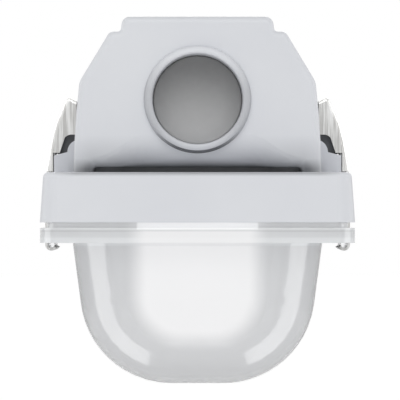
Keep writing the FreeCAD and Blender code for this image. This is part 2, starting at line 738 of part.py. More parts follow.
for side in ("-1", "1"):
    outline(bead, [
        (f"{side} * (bead_side - neck_width / 2)", "flange_under + flange_plate / 4"),
        (f"{side} * (bead_side - neck_width / 2)", shoulder, f"{side} * bead_radius"),
        (f"{side} * bead_side", "bead_level - bead_radius", f"{side} * bead_radius"),
        (f"{side} * (bead_side + neck_width / 2)", shoulder),
        (f"{side} * (bead_side + neck_width / 2)", "flange_under + flange_plate / 4"),
    ])
row_of(cover_shell, pad(cover_shell, bead, "bead_length", "both"), "2 * clip_pitch", "3")


def trough(body, name, inset):
    """Tapered trough, full, as much smaller than the cover's outside as the inset says."""
    half_x, half_y = f"(trough_half - {inset})", f"(trough_end - {inset})"
    plan = sketch_on(body, name, "XY_Plane", "flange_top")
    rectangle(plan, f"-{half_x}", half_x, f"-{half_y}", half_y)
    pad(body, plan, f"trough_depth - {inset}", "against", "-trough_draft")
    bottom = f"(flange_top - trough_depth + {inset})"
    lean = f"((trough_depth - {inset}) * tan(trough_draft))"
    fillet(body, f"{name}_bottom", f"trough_radius - {inset}", long_edge(f"{half_x} - {lean}", bottom))

    def end_edge(edge):
        spot, box = middle(edge), edge.BoundBox
        far = abs(spot.y) > value(f"{half_y} - {lean}") - 0.01
        return far and box.YLength < 8 and box.ZLength + box.XLength > 1 and spot.z < value("flange_under")

    fillet(body, f"{name}_ends", f"trough_end_radius - {inset}", end_edge)


trough(cover_shell, "trough", "0")
cover_core = new_body("cover_core")
trough(cover_core, "room", "cover_wall")
mouth = sketch_on(cover_core, "mouth", "XY_Plane", "flange_top")
rounded(mouth, "trough_half - cover_wall", "trough_end - cover_wall", "trough_end_radius - cover_wall")
pad(cover_core, mouth, "cover_wall")
cover = cut_from("cover", cover_shell, cover_core)

# Stainless clips: a plate curled round its bead, two folded sides with an arch and a pressed catch.
def clip(label, side, row):
    """One toggle clip on a side of the light, in its row along it."""
    body = new_body(label)

    def spot(across, up, *radius):
        return (f"{side} * ({across})", up, *(f"{side} * ({turn})" for turn in radius))

    full = sketch_on(body, f"{label}_full", "XZ_Plane")
    outline(full, [
        spot("rim_half + clip_ledge_out", "rim_top + clip_ledge", "clip_bow"),
        spot("foot_half + clip_bend_out", "rim_top + clip_bend"),
        spot("foot_half + clip_top_out", "rim_top + clip_top"),
        spot("foot_half + lip_out", "rim_top + lip_top"),
        spot("foot_half + lip_out", "rim_top + arch_top"),
        spot("foot_half + arch_shoulder_out - arch_radius / 2", "rim_top + arch_top", "-arch_radius"),
        spot("foot_half + arch_shoulder_out", "rim_top + arch_shoulder"),
        spot("foot_half + arch_out", "rim_top + arch_foot"),
        spot("rim_half + clip_ledge_out - side_foot", "rim_top + arch_foot"),
        spot("rim_half + clip_ledge_out - side_foot", "rim_top + clip_ledge"),
    ])
    pad(body, full, "clip_width", "both")

    knee = long_edge("foot_half + clip_bend_out", "rim_top + clip_bend", 10)
    fillet(body, f"{label}_knee", "clip_knee", knee)
    crown = long_edge("foot_half + clip_top_out", "rim_top + clip_top", 10)
    fillet(body, f"{label}_crown", "clip_crown", crown)

    def fold(edge):
        """Edges along which the sides are folded from the plate."""
        at = middle(edge)
        at_side = edge.BoundBox.YLength < 0.01 and abs(abs(at.y) - value("clip_width / 2")) < 0.01
        on_bow = abs(at.x) > value("rim_half + clip_ledge_out - side_foot") + 0.1
        over_bow = at.z > value("rim_top + arch_top") + 1 and abs(at.x) > value("foot_half + lip_out") + 0.1
        return at_side and at.z > value("rim_top + clip_ledge") + 0.1 and (on_bow or over_bow)

    fillet(body, f"{label}_folds", "clip_fold", fold)
    room = sketch_on(body, f"{label}_room", "XZ_Plane")
    outline(room, [
        spot("rim_half + clip_ledge_out - clip_sheet", "rim_top", "clip_bow - clip_sheet"),
        spot("foot_half + clip_bend_out - clip_sheet", "rim_top + clip_bend"),
        spot("foot_half + clip_top_out - clip_sheet * 0.7", "rim_top + clip_top - clip_sheet * 1.5"),
        spot("foot_half + lip_out - 1", "rim_top + lip_top - clip_sheet * 1.3"),
        spot("foot_half + lip_out - 1", "rim_top"),
    ])
    pocket(body, room, "clip_width - 2 * clip_sheet")
    nose = sketch_on(body, f"{label}_nose", "XZ_Plane")
    outline(nose, [
        spot("foot_half + clip_bend_out + clip_sheet", "lug_level + catch_inner * sin(catch_low)"),
        spot("lug_turn + catch_inner * cos(catch_low)", "lug_level + catch_inner * sin(catch_low)",
             "catch_inner"),
        spot("lug_turn + catch_inner * cos(catch_high)", "lug_level + catch_inner * sin(catch_high)"),
        spot("lug_turn + catch_outer * cos(catch_high)", "lug_level + catch_outer * sin(catch_high)"),
        spot("foot_half + catch_root_out", "rim_top + catch_root"),
    ])
    pad(body, nose, "catch_width", "both")
    dent = sketch_on(body, f"{label}_dent", "XZ_Plane")
    low, high = "(catch_low + 10)", "(catch_high - 12)"
    outline(dent, [
        spot("rim_half + 2 * clip_sheet", f"lug_level + catch_outer * sin({low})"),
        spot("rim_half + 2 * clip_sheet", "rim_top + catch_root"),
        spot("foot_half + catch_root_out - clip_sheet", "rim_top + catch_root - clip_sheet * 1.3"),
        spot(f"lug_turn + catch_outer * cos({high})", f"lug_level + catch_outer * sin({high})",
             "-catch_outer"),
        spot(f"lug_turn + catch_outer * cos({low})", f"lug_level + catch_outer * sin({low})"),
    ])
    pocket(body, dent, "catch_width - 2 * clip_sheet")
    plate = sketch_on(body, f"{label}_plate", "XZ_Plane")
    outline(plate, [
        spot("bead_side + curl_outer", "bead_level"),
        spot("bead_side + curl_outer", "bead_level + clip_rise"),
        spot("rim_half + clip_ledge_out", "rim_top + clip_ledge"),
        spot("rim_half + clip_ledge_out - clip_sheet", "rim_top + clip_ledge"),
        spot("bead_side + curl_inner", "bead_level + clip_rise"),
        spot("bead_side + curl_inner", "bead_level", "-curl_inner"),
        spot("bead_side + curl_inner * cos(curl_wrap)", "bead_level - curl_inner * sin(curl_wrap)"),
        spot("bead_side + curl_outer * cos(curl_wrap)", "bead_level - curl_outer * sin(curl_wrap)",
             "curl_outer"),
    ])
    pad(body, plate, "clip_width - 2 * clip_fold", "both")
    body.setExpression("Placement.Base.y", formula(f"{row} * clip_pitch"))
    return body


clips = [
    clip(f"clip_{hand}_{place}", side, row)
    for hand, side in (("left", "-1"), ("right", "1"))
    for place, row in (("front", "-1"), ("middle", "0"), ("back", "1"))
]


def drilled(body, name, spots, radius, level, depth, side="both"):
    """Round holes through a body at driven spots, seen from above."""
    holes = sketch_on(body, name, "XY_Plane", level)
    for across, along in spots:
        circle(holes, across, along, radius)
    return pocket(body, holes, depth, side)


def studs(body, name, spots, radius, level, height):
    """Round posts at driven spots, from a level upwards."""
    rounds = sketch_on(body, name, "XY_Plane", level)
    for across, along in spots:
        circle(rounds, across, along, radius)
    return pad(body, rounds, height)


TRAY_SCREWS = [
    (f"{side} * boss_spread / 2", f"{end} * boss_pitch / 2")
    for side in ("-1", "1")
    for end in ("-1", "1")
]
RIVETS = [
    ("rivet_side", "-rivet_outer / 2"),
    ("-rivet_side", "-rivet_inner / 2"),
    ("rivet_side", "rivet_inner / 2"),
    ("-rivet_side", "rivet_outer / 2"),
]
DRIVER_SCREWS = [("0", "driver_front - driver_foot / 2"), ("0", "driver_back + driver_foot / 2")]
EARTH = [("earth_side", "earth_along")]

# Gear tray: a white channel with wings that lie against the rim's roof.
tray = new_body("gear_tray")
hat = sketch_on(tray, "hat", "XZ_Plane")
inner = "(channel_half - tray_sheet)"
outline(hat, [
    ("-channel_half", "floor_under"),
    ("channel_half", "floor_under"),
    ("channel_half", "roof_under - tray_sheet"),
    ("wing_half", "roof_under - tray_sheet"),
    ("wing_half", "roof_under"),
    (inner, "roof_under"),
    (inner, "floor_top"),
    (f"-{inner}", "floor_top"),
    (f"-{inner}", "roof_under"),
    ("-wing_half", "roof_under"),
    ("-wing_half", "roof_under - tray_sheet"),
    ("-channel_half", "roof_under - tray_sheet"),
])
pad(tray, hat, "tray_length", "both")
for end, side in (("1", "against"), ("-1", "along")):
    stop = sketch_on(tray, f"stop_{side}", "XZ_Plane", f"{end} * tray_length / 2")
    rectangle(stop, "-channel_half", "channel_half", "floor_under", "roof_under - tray_sheet")
    pad(tray, stop, "tray_sheet", side)
drilled(tray, "tray_holes", TRAY_SCREWS, "clear_radius", "roof_under", "4 * tray_sheet")
drilled(tray, "tray_rivet_holes", RIVETS, "rivet_radius", "floor_top", "4 * tray_sheet")
drilled(tray, "tray_driver_holes", DRIVER_SCREWS, "screw_radius", "floor_top", "4 * tray_sheet")
drilled(tray, "tray_earth_hole", EARTH, "screw_radius", "floor_top", "4 * tray_sheet")
view = sketch_on(tray, "connector_window", "XY_Plane", "floor_top")
half = "(connector_length / 2 + connector_play)"
wide = "(connector_width / 2 + connector_play)"
rectangle(view, f"-{wide}", wide, f"connector_middle - {half}", f"connector_middle + {half}")
pocket(tray, view, "4 * tray_sheet")


def screws(label, spots, seat, reach, down):
    """Slotted screws whose heads stand on a seat and whose shanks reach the other way."""
    body = new_body(label)
    head = f"{seat} - screw_head_height" if down else seat
    shank = seat if down else f"{seat} - ({reach})"
    face = head if down else f"{seat} + screw_head_height - screw_slot"
    studs(body, f"{label}_heads", spots, "screw_head_radius", head, "screw_head_height")
    studs(body, f"{label}_shanks", spots, "screw_radius", shank, reach)
    slots = sketch_on(body, f"{label}_slots", "XY_Plane", face)
    for across, along in spots:
        rectangle(
            slots,
            f"{across} - screw_head_radius * 0.7",
            f"{across} + screw_head_radius * 0.7",
            f"{along} - screw_slot / 2",
            f"{along} + screw_slot / 2",
        )
    pocket(body, slots, "screw_slot", "along")
    return body


tray_screws = screws("tray_screws", TRAY_SCREWS, "(roof_under - tray_sheet)", "pilot_depth", True)

# Light source: board, chips and the rivets that hold the board to the tray.
board = new_body("led_board")
strip = sketch_on(board, "strip", "XY_Plane", "board_under")
rectangle(strip, "-board_width / 2", "board_width / 2", "-board_length / 2", "board_length / 2")
pad(board, strip, "board_thickness")
drilled(board, "board_rivet_holes", RIVETS, "rivet_radius", "floor_under", "4 * board_thickness")
chips = new_body("led_chips")
chip = sketch_on(chips, "chip", "XY_Plane", "board_under")
span = "(chip_pitch * (chip_count - 1))"
rectangle(
    chip,
    "-chip_length / 2",
    "chip_length / 2",
    f"-{span} / 2 - chip_width / 2",
    f"-{span} / 2 + chip_width / 2",
)
row_of(chips, pad(chips, chip, "chip_height", "against"), span, "chip_count")
rivets = new_body("board_rivets")
rivet_grip = "board_thickness + tray_sheet"
heads_under = "board_under - rivet_head_height"
studs(rivets, "rivet_heads", RIVETS, "rivet_head_radius", heads_under, "rivet_head_height")
studs(rivets, "rivet_shanks", RIVETS, "rivet_radius", "board_under", rivet_grip)
studs(rivets, "rivet_tails", RIVETS, "rivet_head_radius", "floor_top", "rivet_head_height")


def ports(body, name, spots, radius, face, side):
    """Blind round ports in an upright face across the light, seen from the front."""
    holes = sketch_on(body, name, "XZ_Plane", f"-({face})")
    for across, up in spots:
        circle(holes, across, up, radius)
    return pocket(body, holes, "port_depth", side)


def upright(edge):
    """Upright edges."""
    box = edge.BoundBox
    return box.XLength < 0.01 and box.YLength < 0.01


# Driver: case with feet and wire ports, and its lid.
driver = new_body("driver_case")
case = sketch_on(driver, "case", "XY_Plane", "floor_top")
rectangle(case, "-driver_width / 2", "driver_width / 2", "driver_front", "driver_back")
pad(driver, case, "driver_height")
fillet(driver, "case_corners", "driver_corner", upright)
feet = sketch_on(driver, "feet", "XY_Plane", "floor_top")
rectangle(
    feet,
    "-driver_foot_width / 2",
    "driver_foot_width / 2",
    "driver_front - driver_foot",
    "driver_back + driver_foot",
)
pad(driver, feet, "driver_foot_height")
drilled(driver, "feet_holes", DRIVER_SCREWS, "clear_radius", "floor_top", "4 * driver_foot_height")
SUPPLY = [("-supply_pitch / 2", "supply_level"), ("supply_pitch / 2", "supply_level")]
OUTPUT = [("-output_pitch / 2", "supply_level"), ("output_pitch / 2", "supply_level")]
ports(driver, "supply_ports", SUPPLY, "wire_radius + port_play", "driver_front", "against")
ports(driver, "output_ports", OUTPUT, "lead_radius + port_play", "driver_back", "along")
lid = new_body("driver_lid")
top = sketch_on(lid, "top", "XY_Plane", "driver_top")
half = "(driver_width / 2 - lid_seam)"
rectangle(top, f"-{half}", half, "driver_front + lid_seam", "driver_back - lid_seam")
pad(lid, top, "lid_height")
fillet(lid, "lid_corners", "driver_corner - lid_seam", upright)
driver_screws = screws("driver_screws", DRIVER_SCREWS, "(floor_top + driver_foot_height)",
                       "driver_foot_height + tray_sheet", False)

# Terminal block with a release button for each pole.
POLES = (("live", "-pole_pitch"), ("neutral", "0"), ("earth", "pole_pitch"))
block = new_body("terminal_block")
base = sketch_on(block, "base", "XY_Plane", "floor_top")
rectangle(base, "-block_width / 2", "block_width / 2", "block_front", "block_back")
pad(block, base, "block_height")
wells = sketch_on(block, "wells", "XY_Plane", "well_floor")
for pole, across in POLES:
    half, deep = "(button_width / 2 + button_play)", "(button_length / 2 + button_play)"
    rectangle(wells, f"{across} - {half}", f"{across} + {half}",
              f"block_middle - {deep}", f"block_middle + {deep}")
pocket(block, wells, "well_depth", "along")
MAINS = [(across, "mains_level") for pole, across in POLES]
ports(block, "mains_in", MAINS, "wire_radius + port_play", "block_front", "against")
ports(block, "mains_out", MAINS, "wire_radius + port_play", "block_back", "along")
buttons = []
for pole, across in POLES:
    button = new_body(f"button_{pole}")
    cap = sketch_on(button, f"cap_{pole}", "XY_Plane", "block_top - button_depth")
    half, deep = "button_width / 2", "button_length / 2"
    rectangle(cap, f"{across} - {half}", f"{across} + {half}",
              f"block_middle - {deep}", f"block_middle + {deep}")
    pad(button, cap, "button_depth + button_rise")
    buttons.append(button)

# Board connector, standing on the back of the board in the tray's window.
connector = new_body("board_connector")
shape = sketch_on(connector, "connector_plan", "XY_Plane", "floor_under")
half = "connector_width / 2"
rectangle(shape, f"-{half}", half, "connector_front", "connector_front + connector_length")
pad(connector, shape, "connector_height")
LEADS = [("-connector_pitch / 2", "connector_level"), ("connector_pitch / 2", "connector_level")]
ports(connector, "lead_ports", LEADS, "lead_radius + port_play", "connector_front", "against")

# Earth tag with its barrel, and its screw.
tag = new_body("earth_tag")
studs(tag, "tag_ring", EARTH, "tag_radius", "floor_top", "tag_thickness")
tail = sketch_on(tag, "tag_tail_plan", "XY_Plane", "floor_top")
rectangle(tail, "earth_side - barrel_radius", "earth_side + barrel_radius", "barrel_end", "earth_along")
pad(tag, tail, "tag_thickness")
barrel = sketch_on(tag, "barrel", "XZ_Plane", "-barrel_end")
circle(barrel, "earth_side", "barrel_level - tag_thickness / 4", "barrel_radius")
pad(tag, barrel, "barrel_length", "against")
drilled(tag, "tag_hole", EARTH, "clear_radius", "floor_top", "4 * tag_thickness")
BORE = [("earth_side", "barrel_level - tag_thickness / 4")]
ports(tag, "barrel_bore", BORE, "wire_radius + port_play / 4", "barrel_end", "against")
earth_screw = screws("earth_screw", EARTH, "tag_top", "tag_thickness + tray_sheet", False)

# Plugs in the cable entries, seals under the ceiling holes.
plugs = []
for place, end in (("front", "-1"), ("back", "1")):
    plug = new_body(f"cable_plug_{place}")
    cup = sketch_on(plug, f"cup_{place}", "YZ_Plane")
    face = f"{end} * (collar_front - plug_recess)"
    back = f"{end} * (collar_front - plug_recess - plug_length)"
    bottom = f"{end} * (collar_front - plug_recess - plug_face)"
    outer, hollow_radius = "(entry_axis + plug_radius)", "(entry_axis + plug_radius - plug_wall)"
    outline(cup, [
        (face, "entry_axis"),
        (face, f"{outer} - plug_edge", f"{end} * plug_edge"),
        (f"{end} * (collar_front - plug_recess - plug_edge)", outer),
        (back, outer),
        (back, hollow_radius),
        (bottom, hollow_radius),
        (bottom, "entry_axis"),
    ])
    turned(plug, cup, "entry_axis")
    plugs.append(plug)
seals = new_body("fixing_seals")
rings = sketch_on(seals, "rings", "XY_Plane", "seal_top")
pair_along(rings, "fixing_pitch", "seal_radius")
pair_along(rings, "fixing_pitch", "seal_bore")
pad(seals, rings, "seal_thickness", "against")


# Wires, each whole, along straight runs and tangent arcs.
def wire(label, radius, route):
    """Round wire along a route of driven points."""
    points = [FreeCAD.Vector(*(value(text) for text in point)) for point in route]
    thickness = value(radius)
    runs = []
    here = points[0]
    for before, corner, after in zip(points, points[1:], points[2:]):
        back, on = (before - corner).normalize(), (after - corner).normalize()
        trim = 0.45 * min((before - corner).Length, (after - corner).Length)
        bend = (math.pi - back.getAngle(on)) / 2
        inward = (back + on).normalize()
        radius_here = trim / math.tan(bend)
        centre = corner + inward * (radius_here / math.cos(bend))
        start, stop = corner + back * trim, corner + on * trim
        runs.append(Part.LineSegment(here, start).toShape())
        runs.append(Part.Arc(start, centre - inward * radius_here, stop).toShape())
        here = stop
    runs.append(Part.LineSegment(here, points[-1]).toShape())
    path = Part.Wire(runs)
    ring = Part.Wire(Part.Circle(points[0], points[1] - points[0], thickness).toShape())
    feature = doc.addObject("Part::Feature", label)
    feature.Label = label
    feature.Shape = path.makePipeShell([ring], True, False)
    return feature


INSIDE = "(port_depth - port_play)"
wires = [
    wire(f"wire_{pole}", "wire_radius", [
        (across, f"block_back - {INSIDE}", "mains_level"),
        (across, "block_back + 12", "mains_level"),
        (far, "driver_front - 12", "supply_level"),
        (far, f"driver_front + {INSIDE}", "supply_level"),
    ])
    for pole, across, far in (
        ("live", "-pole_pitch", "-supply_pitch / 2"),
        ("neutral", "0", "supply_pitch / 2"),
    )
]
wires.append(wire("wire_earth", "wire_radius", [
    ("pole_pitch", f"block_back - {INSIDE}", "mains_level"),
    ("pole_pitch", "block_back + 4", "mains_level"),
    ("earth_side", "barrel_end - 4", "barrel_level - tag_thickness / 4"),
    ("earth_side", "barrel_end + barrel_length - port_play", "barrel_level - tag_thickness / 4"),
]))
for pole, side in (("plus", "-1"), ("minus", "1")):
    wires.append(wire(f"wire_led_{pole}", "lead_radius", [
        (f"{side} * output_pitch / 2", f"driver_back - {INSIDE}", "supply_level"),
        (f"{side} * output_pitch / 2", "driver_back + 10", "supply_level"),
        (f"{side} * connector_pitch / 2", "connector_front - 8", "connector_level"),
        (f"{side} * connector_pitch / 2", f"connector_front + {INSIDE}", "connector_level"),
    ]))

NODES = [
    housing, gasket, cover, *clips, tray, tray_screws, board, chips, rivets, driver, lid, driver_screws,
    block, *buttons, connector, tag, earth_screw, *plugs, seals, *wires,
]
doc.recompute()
for thing in doc.Objects:
    if "Invalid" in thing.State or "Error" in thing.State:
        raise RuntimeError(f"{thing.Label} is not made: {thing.State}")
os.makedirs("parts", exist_ok=True)
for node in NODES:
    if node.Shape.isNull() or not node.Shape.isValid():
        raise RuntimeError(f"{node.Label} has no valid shape")
    node.Shape.exportStep(f"parts/{node.Label}.step")
    print(node.Label, len(node.Shape.Solids), round(node.Shape.Volume, 1))
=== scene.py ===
import math

import bmesh
import bpy
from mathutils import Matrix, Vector


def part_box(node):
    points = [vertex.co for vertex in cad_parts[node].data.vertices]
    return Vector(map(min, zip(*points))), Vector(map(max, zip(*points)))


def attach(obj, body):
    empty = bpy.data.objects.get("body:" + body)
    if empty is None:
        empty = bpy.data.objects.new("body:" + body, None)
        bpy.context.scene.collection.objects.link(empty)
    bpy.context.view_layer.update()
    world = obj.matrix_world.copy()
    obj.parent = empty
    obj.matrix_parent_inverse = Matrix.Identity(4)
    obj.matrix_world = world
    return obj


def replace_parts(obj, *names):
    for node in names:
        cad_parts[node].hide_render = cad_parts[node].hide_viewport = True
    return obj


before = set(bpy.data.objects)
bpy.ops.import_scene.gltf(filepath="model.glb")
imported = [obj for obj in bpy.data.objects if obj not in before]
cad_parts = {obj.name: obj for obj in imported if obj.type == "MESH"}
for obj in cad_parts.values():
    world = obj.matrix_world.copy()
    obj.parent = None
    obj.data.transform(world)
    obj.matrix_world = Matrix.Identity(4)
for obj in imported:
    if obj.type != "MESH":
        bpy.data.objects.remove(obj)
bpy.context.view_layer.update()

MM = 0.001
# Faces that meet at less than this are shaded as one curve.
SMOOTH_BELOW = math.radians(35)


def linear(hex_colour):
    """An sRGB hex colour as the linear colour that a shader takes."""
    channels = [int(hex_colour[start:start + 2], 16) / 255 for start in (1, 3, 5)]
    return [c / 12.92 if c <= 0.04045 else ((c + 0.055) / 1.055) ** 2.4 for c in channels] + [1.0]


def per_metre(size_mm):
    """Texture scale at which one feature of a pattern is this many millimetres across."""
    return 1 / (size_mm * MM)


def add(tree, kind, sockets=None, **settings):
    """One node in a tree, with its settings, and its sockets given a value or a link from another node."""
    node = tree.nodes.new(kind)
    for name, setting in settings.items():
        setattr(node, name, setting)
    for name, source in (sockets or {}).items():
        if isinstance(source, bpy.types.NodeSocket):
            tree.links.new(source, node.inputs[name])
        else:
            node.inputs[name].default_value = source
    return node


def material(name, **sockets):
    """A material with one shader, and constant numbers on its sockets."""
    made = bpy.data.materials.new(name)
    made.use_nodes = True
    shader = made.node_tree.nodes["Principled BSDF"]
    for socket, number in sockets.items():
        shader.inputs[socket.replace("_", " ")].default_value = number
    return made, made.node_tree, shader


def tones(ramp, *stops):
    """Colours of a ramp: pairs of place and sRGB hex colour."""
    points = ramp.color_ramp.elements
    while len(points) < len(stops):
        points.new(0.5)
    for point, (place, hex_colour) in zip(points, stops):
        point.position = place
        point.color = linear(hex_colour)


# Moulded polycarbonate, light grey with a cool cast: a satin skin with the fine spark grain of the mould,
# clouds in the colour so faint that only large faces show them, and painted shade in its grooves and
# corners, on the lugs, along the rim's edge and around the collars.
def satin_polycarbonate():
    clip_pitch = 255 * MM
    entry_level = -23.3 * MM
    made, tree, shader = material("satin_moulded_polycarbonate", IOR=1.58)
    place = add(tree, "ShaderNodeTexCoord").outputs["Object"]
    cloud = add(tree, "ShaderNodeTexNoise", {"Vector": place, "Scale": per_metre(38), "Detail": 3.0})
    ramp = add(tree, "ShaderNodeValToRGB", {"Fac": cloud.outputs["Fac"]})
    tones(ramp, (0.30, "#d8dadf"), (0.70, "#dddfe3"))
    spot = add(tree, "ShaderNodeSeparateXYZ", {"Vector": place})
    height = spot.outputs["Z"]
    along = add(tree, "ShaderNodeMath", {0: spot.outputs["Y"]}, operation="ABSOLUTE").outputs["Value"]
    across = add(tree, "ShaderNodeMath", {0: spot.outputs["X"]}, operation="ABSOLUTE").outputs["Value"]
    nearest = add(tree, "ShaderNodeMath", {0: spot.outputs["Y"], 1: clip_pitch / 2}, operation="PINGPONG")
    from_clip = nearest.outputs["Value"]
    axis = add(tree, "ShaderNodeCombineXYZ", {"Y": spot.outputs["Y"], "Z": entry_level})
    radius = add(tree, "ShaderNodeVectorMath", {0: place, 1: axis.outputs["Vector"]}, operation="DISTANCE")
    from_entry = radius.outputs["Value"]
    shade_across = add(tree, "ShaderNodeMapRange", {
        "Value": across, "From Min": 4 * MM, "From Max": 12 * MM, "To Min": 0.12, "To Max": 0.28})
    side_shade_strength = shade_across.outputs["Result"]
    # Each patch of painted shade has a strength, and measures that run from unshaded to fully shaded, in
    # millimetres.
    shade_patches = (
        # Painted shade deep in the grooves of the end walls, lighter towards their ends.
        (0.65, ((along, 315.8, 307), (height, -39.5, -42.4), (across, 29.5, 21))),
        # Painted shade on the end walls above the grooves, but not in the middle.
        (0.3, ((across, 3, 25), (along, 322.5, 319.5), (across, 38, 30), (height, -33.5, -41.5))),
        # Painted shade in the corners beside the ends of the grooves.
        (0.75, ((along, 322.5, 319.5), (across, 38.5, 31.5), (across, 27.5, 30.5), (height, -39, -43))),
        # Painted shade on the lugs behind the clips.
        (0.85, ((from_clip, 12.5, 11.5), (across, 36, 36.4), (height, -39.2, -38.2))),
        # Painted shade along the top edge of the rim at both ends.
        (0.6, ((along, 327.8, 328.6), (across, 41, 34), (height, -45.3, -43.9))),
        # A painted shadow line at the foot of each collar, under the entry.
        (0.8, ((height, -30, -37), (from_entry, 14.49, 14.5), (from_entry, 15.31, 15.3))),
        # Painted shade on the lower half of each collar, stronger at its sides.
        (side_shade_strength, ((height, -10, -21), (from_entry, 12.4, 13), (from_entry, 15.16, 15.15))),
    )
    painted_shade = 0.0
    for strength, measures in shade_patches:
        for measure, unshaded, fully_shaded in measures:
            fade = add(tree, "ShaderNodeMapRange", {
                "Value": measure, "From Min": unshaded * MM, "From Max": fully_shaded * MM, "To Max": strength})
            strength = fade.outputs["Result"]
        deepest_shade = add(tree, "ShaderNodeMath", {0: painted_shade, 1: strength}, operation="MAXIMUM")
        painted_shade = deepest_shade.outputs["Value"]
    # The patches darken the skin towards a dark blue-grey, as painted shade.
    skin = add(tree, "ShaderNodeMix", {
        0: painted_shade, 6: ramp.outputs["Color"], 7: linear("#2c2f35")}, data_type="RGBA")
    tree.links.new(skin.outputs[2], shader.inputs["Base Color"])
    # The real grain is about 0.1 mm and too fine to show, so it is drawn at 0.5 mm.
    grain = add(tree, "ShaderNodeTexNoise", {"Vector": place, "Scale": per_metre(0.5), "Detail": 2.0})
    sheen = add(tree, "ShaderNodeMapRange", {"Value": grain.outputs["Fac"], "To Min": 0.42, "To Max": 0.54})
    tree.links.new(sheen.outputs["Result"], shader.inputs["Roughness"])
    relief = add(tree, "ShaderNodeBump", {
        "Height": grain.outputs["Fac"], "Strength": 0.12, "Distance": 0.03 * MM})
    tree.links.new(relief.outputs["Normal"], shader.inputs["Normal"])
    return made
